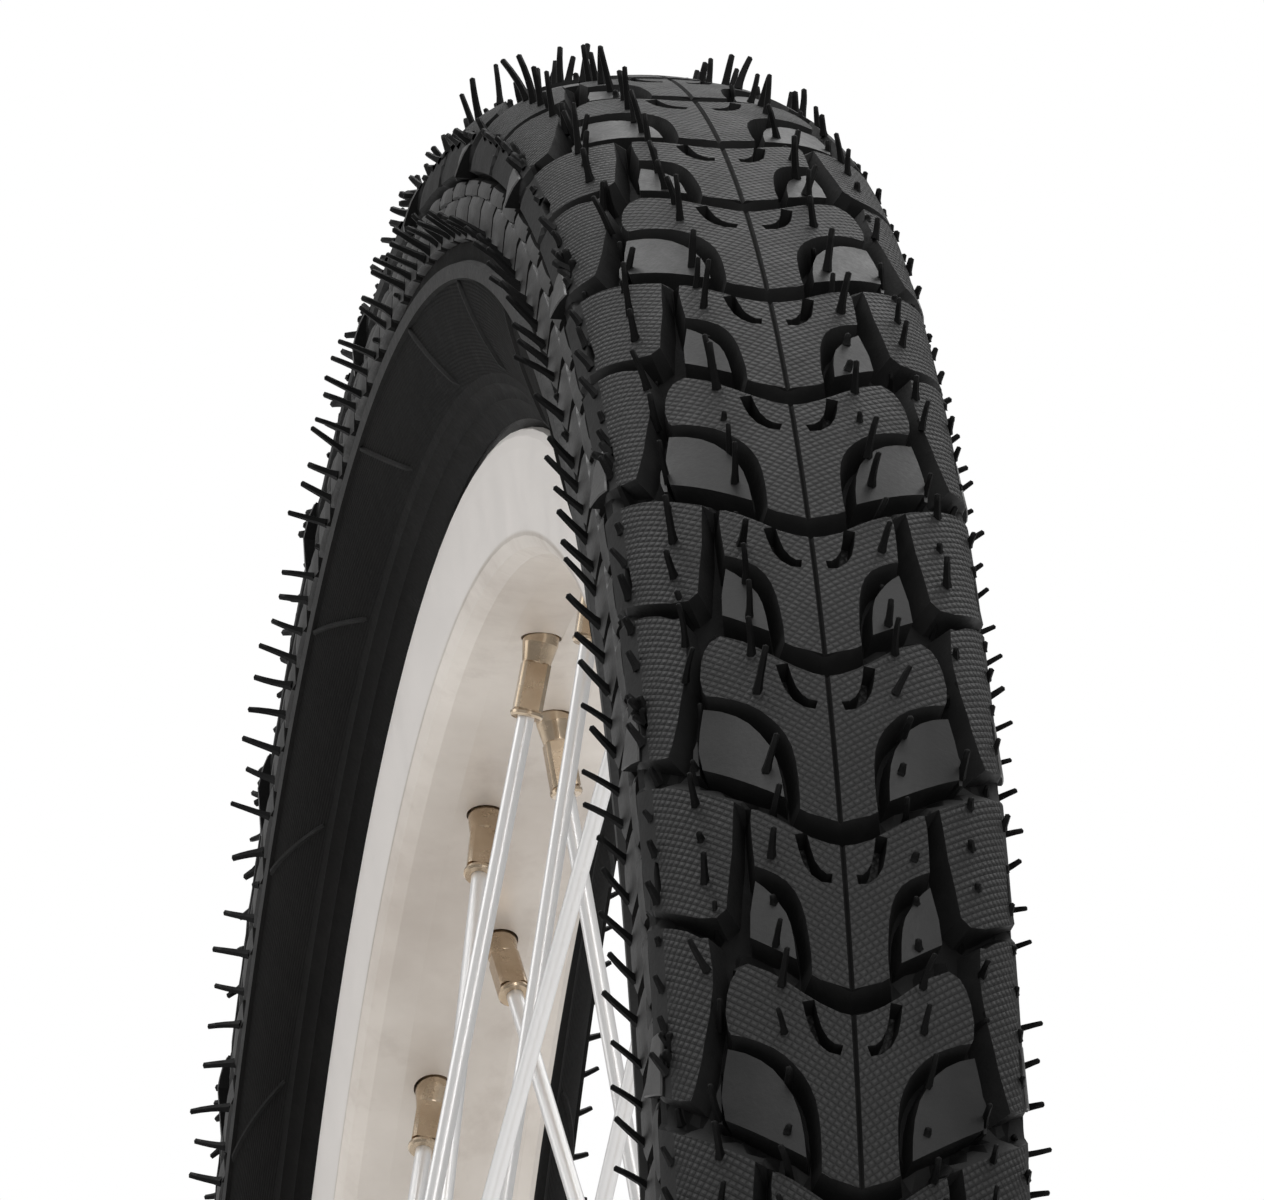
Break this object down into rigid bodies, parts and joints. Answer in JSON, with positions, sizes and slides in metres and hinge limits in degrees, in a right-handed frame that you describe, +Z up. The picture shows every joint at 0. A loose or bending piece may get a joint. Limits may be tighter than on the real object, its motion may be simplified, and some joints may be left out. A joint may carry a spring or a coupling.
{
  "type": "bicycle tyre on wheel",
  "caption": "Ribbed-lobe block-tread bicycle tyre with vent hairs, mounted with its tube on an alloy rim with crossed wire spokes and a nutted front hub.",
  "frame": {"origin": "centre of the wheel, on the axle's line and in the wheel's plane", "axes": "+Y along the axle to the wheel's right side, +Z up with the valve at the bottom, +X forwards"},
  "size_m": [0.501, 0.14, 0.501],
  "materials": {
    "tread_rubber": "moulded black rubber, satin, fine knurl",
    "sidewall_rubber": "smooth moulded black rubber",
    "casing_fabric": "rubberised nylon cord",
    "belt_fabric": "woven aramid under the tread",
    "bead_steel": "brass-coated hoop wire",
    "butyl_rubber": "matt butyl",
    "tape_rubber": "smooth rubber strip",
    "rim_alloy": "satin anodised extrusion",
    "hub_alloy": "polished alloy",
    "spoke_steel": "bright galvanised wire",
    "nipple_brass": "dull plated brass",
    "valve_brass": "machined brass",
    "cap_plastic": "ribbed moulded cap",
    "bearing_steel": "hardened ground steel",
    "ball_steel": "polished balls",
    "zinc_steel": "bright zinc plate",
    "spring_steel": "drawn wire"
  },
  "bodies": {
    "axle_set": {"axle": "zinc_steel", "cone_left": "bearing_steel", "cone_right": "bearing_steel", "keyed_washer_left": "zinc_steel", "keyed_washer_right": "zinc_steel", "locknut_left": "zinc_steel", "locknut_right": "zinc_steel", "axle_washer_left": "zinc_steel", "axle_washer_right": "zinc_steel", "axle_nut_left": "zinc_steel", "axle_nut_right": "zinc_steel"},
    "wheel": {"tread": "tread_rubber", "sidewall_left": "sidewall_rubber", "sidewall_right": "sidewall_rubber", "casing": "casing_fabric", "puncture_belt": "belt_fabric", "bead_wire_left": "bead_steel", "bead_wire_right": "bead_steel", "inner_tube": "butyl_rubber", "rim_tape": "tape_rubber", "rim": "rim_alloy", "spokes_left_outer": "spoke_steel", "spokes_left_inner": "spoke_steel", "spokes_right_outer": "spoke_steel", "spokes_right_inner": "spoke_steel", "nipples_left": "nipple_brass", "nipples_right": "nipple_brass", "hub_shell": "hub_alloy", "bearing_cup_left": "bearing_steel", "bearing_cup_right": "bearing_steel", "dust_cap_left": "zinc_steel", "dust_cap_right": "zinc_steel", "valve_stem": "valve_brass", "valve_sleeve": "butyl_rubber", "valve_core_body": "valve_brass", "valve_core_spring": "spring_steel"},
    "ball_set_left": {"balls_left": "ball_steel", "ball_retainer_left": "bearing_steel"},
    "ball_set_right": {"balls_right": "ball_steel", "ball_retainer_right": "bearing_steel"},
    "valve_pin": {"valve_core_pin": "valve_brass"},
    "valve_cap": {"valve_cap": "cap_plastic"}
  },
  "joints": [
    {"name": "wheel_spin", "type": "hinge", "parent": "axle_set", "child": "wheel", "pos_m": [0, 0, 0], "axis": [0, 1, 0], "continuous": true},
    {"name": "left_balls_orbit", "type": "hinge", "parent": "axle_set", "child": "ball_set_left", "pos_m": [0, 0, 0], "axis": [0, 1, 0], "continuous": true},
    {"name": "right_balls_orbit", "type": "hinge", "parent": "axle_set", "child": "ball_set_right", "pos_m": [0, 0, 0], "axis": [0, 1, 0], "continuous": true},
    {"name": "valve_pin_press", "type": "slide", "parent": "wheel", "child": "valve_pin", "axis": [0, 0, 1], "range_m": [-0.0012, 0], "stiffness_N_per_m": 800, "springref_m": 0.001, "deforming": ["valve_core_spring"]},
    {"name": "valve_cap_off", "type": "slide", "parent": "wheel", "child": "valve_cap", "axis": [0, 0, 1], "range_m": [0, 0.02]}
  ],
  "couplings": [
    {"joint": "left_balls_orbit", "follows": "wheel_spin", "ratio": 0.5915},
    {"joint": "right_balls_orbit", "follows": "wheel_spin", "ratio": 0.5915}
  ]
}
